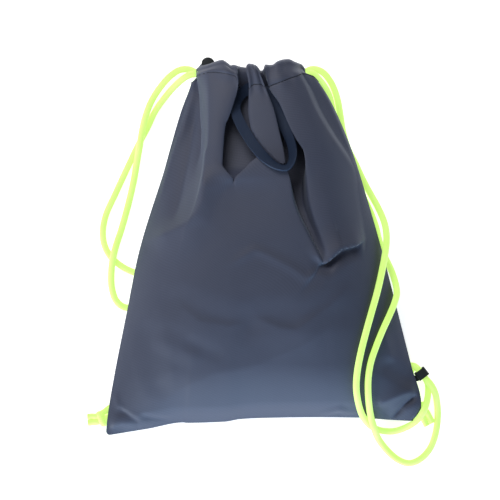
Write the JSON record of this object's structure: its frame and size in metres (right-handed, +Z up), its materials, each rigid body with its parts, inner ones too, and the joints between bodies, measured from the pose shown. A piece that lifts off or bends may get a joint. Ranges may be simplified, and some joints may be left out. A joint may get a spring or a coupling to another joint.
{
  "type": "drawstring bag",
  "caption": "Soft drawstring sack lying on its back, with a gathered mouth, round shoulder cords knotted at the bottom corners and a short webbing carry handle.",
  "frame": {"origin": "on the floor under the bag, at the middle of the back panel", "axes": "+X to the bag's right as the picture shows it, +Y from the bottom seam to the mouth, +Z up from the floor"},
  "size_m": [0.3678, 0.4239, 0.0734],
  "materials": {
    "bag_cloth": "fine slate-navy twill with a slight sheen",
    "lime_cord": "matt braided cord",
    "navy_webbing": "matt flat webbing",
    "black_webbing": "matt ribbed webbing"
  },
  "bodies": {
    "root": {"front_panel": "bag_cloth", "back_panel": "bag_cloth", "carry_handle": "navy_webbing", "mouth_tab": "black_webbing", "left_side_loop": "black_webbing", "right_side_loop": "black_webbing", "left_front_strand": "lime_cord", "left_back_strand": "lime_cord", "right_front_strand": "lime_cord", "right_back_strand": "lime_cord", "front_cord_run": "lime_cord", "back_cord_run": "lime_cord", "left_knot": "lime_cord", "right_knot": "lime_cord"}
  },
  "joints": []
}
